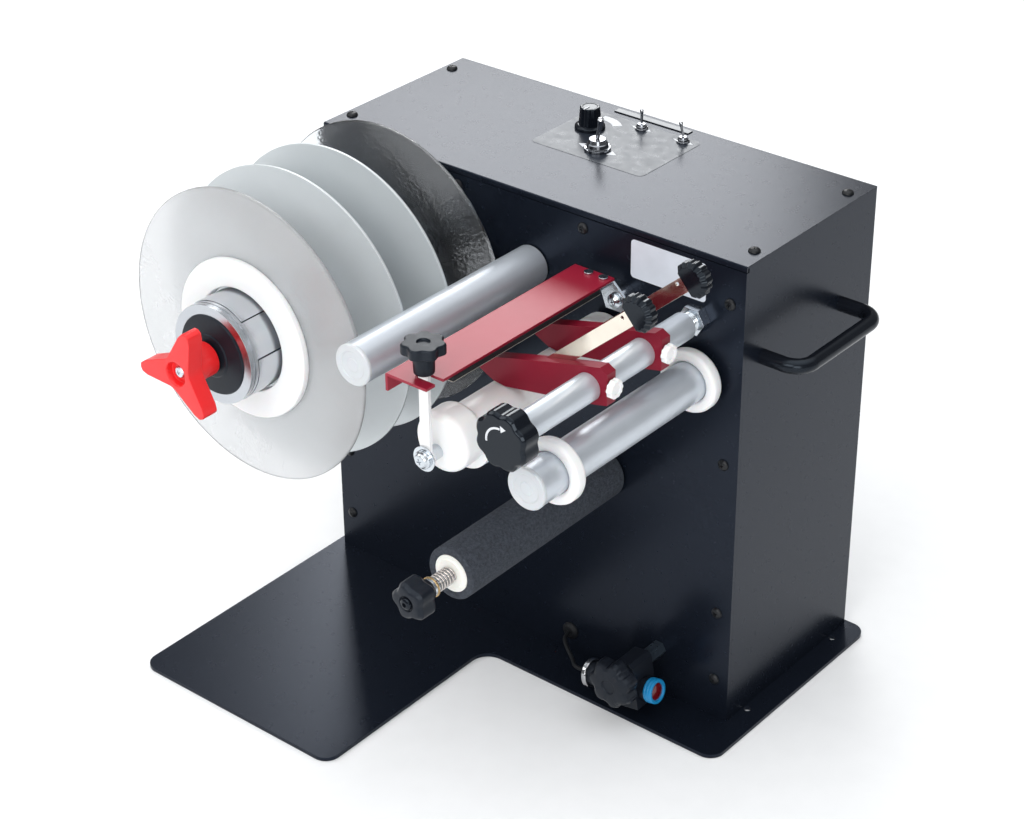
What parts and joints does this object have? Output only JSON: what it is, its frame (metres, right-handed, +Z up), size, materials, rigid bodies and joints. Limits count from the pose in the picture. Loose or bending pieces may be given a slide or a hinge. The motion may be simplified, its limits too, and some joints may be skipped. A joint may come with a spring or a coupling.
{
  "type": "label slitter rewinder",
  "caption": "Bench label slitter and rewinder: a black cabinet whose front carries a disc-flanged winding spindle with an expanding chuck, slitting blades, rollers and a web sensor.",
  "frame": {"origin": "on the underside of the base plate, directly below the lower left corner of the front panel's outer face", "axes": "+X right along the front panel, +Y back into the cabinet, +Z up; the winding spindle and the rollers stand out towards -Y"},
  "size_m": [0.451, 0.3995, 0.4036],
  "materials": {
    "powder_black": "fine textured powder coat",
    "handle_black": "smooth satin black coat",
    "screw_black": "black oxide, semi-gloss",
    "zinc_steel": "bright zinc plate",
    "blade_steel": "bright ground strip steel, warm tint",
    "spring_steel": "drawn wire",
    "chrome_plate": "polished",
    "satin_aluminium": "fine satin, clear anodised",
    "chuck_aluminium": "turned and satin anodised",
    "red_anodised": "satin red anodised",
    "frosted_acrylic": "frosted translucent sheet",
    "pebbled_acrylic": "clear sheet with a pebbled face",
    "white_plastic": "satin white",
    "clear_cap": "milky translucent",
    "red_plastic": "glossy red",
    "black_plastic": "satin to glossy black",
    "foam_rubber": "closed-cell foam, matt",
    "black_rubber": "matt",
    "sensor_blue": "ribbed lens ring with a dark red lens",
    "motor_steel": "plain machined and painted case",
    "board_green": "resin laminate and folded sheet"
  },
  "bodies": {
    "cabinet": {"base_plate": "powder_black", "cabinet_shell": "powder_black", "front_panel": "powder_black", "top_lid": "powder_black", "rear_cover": "powder_black", "cabinet_screws": "screw_black", "carry_handle": "handle_black", "lid_switches": "zinc_steel", "spindle_housing": "motor_steel", "motor_bracket": "motor_steel", "gear_motor": "motor_steel", "drive_electronics": "board_green", "power_inlet": "black_plastic", "roller_axles": "zinc_steel", "panel_fixings": "zinc_steel", "tension_spring": "spring_steel", "slitting_bed": "white_plastic", "sensor_bracket": "black_plastic", "sensor_body": "sensor_blue", "sensor_cable": "black_rubber", "cable_grommet": "black_rubber"},
    "spindle": {"spindle_shaft": "zinc_steel", "shaft_coupling": "motor_steel", "rear_disc": "pebbled_acrylic", "chuck_body": "chuck_aluminium", "chuck_face": "black_plastic"},
    "wing": {"chuck_cam": "zinc_steel", "wing_knob": "red_plastic"},
    "jaw_one": {"chuck_jaw_1": "chuck_aluminium"},
    "jaw_two": {"chuck_jaw_2": "chuck_aluminium"},
    "jaw_three": {"chuck_jaw_3": "chuck_aluminium"},
    "near_separator": {"outer_separator": "frosted_acrylic"},
    "far_separator": {"inner_separator": "frosted_acrylic"},
    "front_flange": {"front_disc": "pebbled_acrylic", "front_hub": "white_plastic"},
    "guide": {"guide_tube": "satin_aluminium", "guide_cap": "clear_cap"},
    "idler": {"idler_tube": "satin_aluminium", "idler_rear_flange": "white_plastic"},
    "idler_flange": {"idler_front_flange": "white_plastic"},
    "foam": {"foam_roller": "foam_rubber"},
    "tension": {"tension_knob": "black_plastic"},
    "stud": {"clamp_stud": "zinc_steel"},
    "clamp": {"clamp_knob": "black_plastic"},
    "hold_down": {"hold_down_bar": "red_anodised", "hold_down_strip": "black_rubber", "hinge_bracket": "zinc_steel"},
    "blade_carrier": {"blade_shaft": "satin_aluminium", "shaft_knob": "black_plastic"},
    "near_holder": {"outer_holder": "red_anodised"},
    "far_holder": {"inner_holder": "red_anodised"},
    "near_blade": {"outer_blade": "blade_steel"},
    "far_blade": {"inner_blade": "blade_steel"},
    "near_thumb": {"outer_thumb_screw": "white_plastic"},
    "far_thumb": {"inner_thumb_screw": "white_plastic"},
    "sensor_clamp": {"sensor_knob": "black_plastic"},
    "speed": {"speed_knob": "black_plastic"},
    "power": {"power_lever": "chrome_plate"},
    "mode": {"mode_lever": "chrome_plate"},
    "direction": {"direction_lever": "chrome_plate"}
  },
  "joints": [
    {"name": "spindle_spin", "type": "hinge", "parent": "cabinet", "child": "spindle", "pos_m": [0.0775, 0, 0.2935], "axis": [0, -1, 0], "continuous": true},
    {"name": "wing_turn", "type": "hinge", "parent": "spindle", "child": "wing", "pos_m": [0.0775, 0, 0.2935], "axis": [0, -1, 0], "range_deg": [0, 90]},
    {"name": "jaw_one_slide", "type": "slide", "parent": "spindle", "child": "jaw_one", "axis": [0, 0, 1], "range_m": [0, 0.0012]},
    {"name": "jaw_two_slide", "type": "slide", "parent": "spindle", "child": "jaw_two", "axis": [-0.866, 0, -0.5], "range_m": [0, 0.0012]},
    {"name": "jaw_three_slide", "type": "slide", "parent": "spindle", "child": "jaw_three", "axis": [0.866, 0, -0.5], "range_m": [0, 0.0012]},
    {"name": "near_separator_slide", "type": "slide", "parent": "spindle", "child": "near_separator", "axis": [0, -1, 0], "range_m": [-0.04, 0.041]},
    {"name": "far_separator_slide", "type": "slide", "parent": "spindle", "child": "far_separator", "axis": [0, -1, 0], "range_m": [-0.045, 0.04]},
    {"name": "front_flange_slide", "type": "slide", "parent": "spindle", "child": "front_flange", "axis": [0, -1, 0], "range_m": [-0.041, 0.026]},
    {"name": "guide_spin", "type": "hinge", "parent": "cabinet", "child": "guide", "pos_m": [0.1998, 0, 0.323], "axis": [0, -1, 0], "continuous": true},
    {"name": "idler_spin", "type": "hinge", "parent": "cabinet", "child": "idler", "pos_m": [0.3463, 0, 0.2841], "axis": [0, -1, 0], "continuous": true},
    {"name": "idler_flange_slide", "type": "slide", "parent": "idler", "child": "idler_flange", "axis": [0, 1, 0], "range_m": [-0.018, 0.125]},
    {"name": "foam_spin", "type": "hinge", "parent": "cabinet", "child": "foam", "pos_m": [0.2668, 0, 0.1767], "axis": [0, -1, 0], "continuous": true},
    {"name": "tension_turn", "type": "hinge", "parent": "cabinet", "child": "tension", "pos_m": [0.2668, -0.204, 0.1767], "axis": [0, -1, 0], "range_deg": [-180, 180]},
    {"name": "stud_swing", "type": "hinge", "parent": "cabinet", "child": "stud", "pos_m": [0.2695, -0.1955, 0.282], "axis": [0, 1, 0], "range_deg": [0, 30]},
    {"name": "clamp_turn", "type": "hinge", "parent": "stud", "child": "clamp", "pos_m": [0.2695, -0.1955, 0.358], "axis": [0, 0, 1], "range_deg": [-180, 180]},
    {"name": "hold_down_lift", "type": "hinge", "parent": "cabinet", "child": "hold_down", "pos_m": [0.2845, -0.013, 0.3273], "axis": [0, 1, 0], "range_deg": [0, 30]},
    {"name": "blade_lift", "type": "hinge", "parent": "cabinet", "child": "blade_carrier", "pos_m": [0.3437, 0, 0.3282], "axis": [0, 1, 0], "range_deg": [0, 8]},
    {"name": "near_holder_slide", "type": "slide", "parent": "blade_carrier", "child": "near_holder", "axis": [0, -1, 0], "range_m": [-0.02, 0.02]},
    {"name": "far_holder_slide", "type": "slide", "parent": "blade_carrier", "child": "far_holder", "axis": [0, -1, 0], "range_m": [-0.02, 0.02]},
    {"name": "near_blade_slide", "type": "slide", "parent": "near_holder", "child": "near_blade", "axis": [0.7524, 0, 0.6587], "range_m": [0, 0.025]},
    {"name": "far_blade_slide", "type": "slide", "parent": "far_holder", "child": "far_blade", "axis": [0.7524, 0, 0.6587], "range_m": [0, 0.025]},
    {"name": "near_thumb_turn", "type": "hinge", "parent": "near_holder", "child": "near_thumb", "pos_m": [0.36, -0.1165, 0.3312], "axis": [1, 0, 0], "range_deg": [-180, 180]},
    {"name": "far_thumb_turn", "type": "hinge", "parent": "far_holder", "child": "far_thumb", "pos_m": [0.36, -0.0575, 0.3312], "axis": [1, 0, 0], "range_deg": [-180, 180]},
    {"name": "sensor_clamp_turn", "type": "hinge", "parent": "cabinet", "child": "sensor_clamp", "pos_m": [0.32, -0.05, 0.042], "axis": [0, -1, 0], "range_deg": [-180, 180]},
    {"name": "speed_turn", "type": "hinge", "parent": "cabinet", "child": "speed", "pos_m": [0.162, 0.115, 0.378], "axis": [0, 0, 1], "range_deg": [-140, 140]},
    {"name": "power_flip", "type": "hinge", "parent": "cabinet", "child": "power", "pos_m": [0.19, 0.0877, 0.3867], "axis": [0, 1, 0], "range_deg": [-22, 0]},
    {"name": "mode_flip", "type": "hinge", "parent": "cabinet", "child": "mode", "pos_m": [0.1932, 0.1369, 0.3825], "axis": [0, 1, 0], "range_deg": [-13, 13]},
    {"name": "direction_flip", "type": "hinge", "parent": "cabinet", "child": "direction", "pos_m": [0.2309, 0.1369, 0.3825], "axis": [0, 1, 0], "range_deg": [0, 26]}
  ],
  "couplings": [
    {"joint": "jaw_two_slide", "follows": "jaw_one_slide", "ratio": 1},
    {"joint": "jaw_three_slide", "follows": "jaw_one_slide", "ratio": 1},
    {"joint": "wing_turn", "follows": "jaw_one_slide", "rad_per_m": 1309},
    {"joint": "hold_down_lift", "follows": "stud_swing", "ratio": 1}
  ]
}
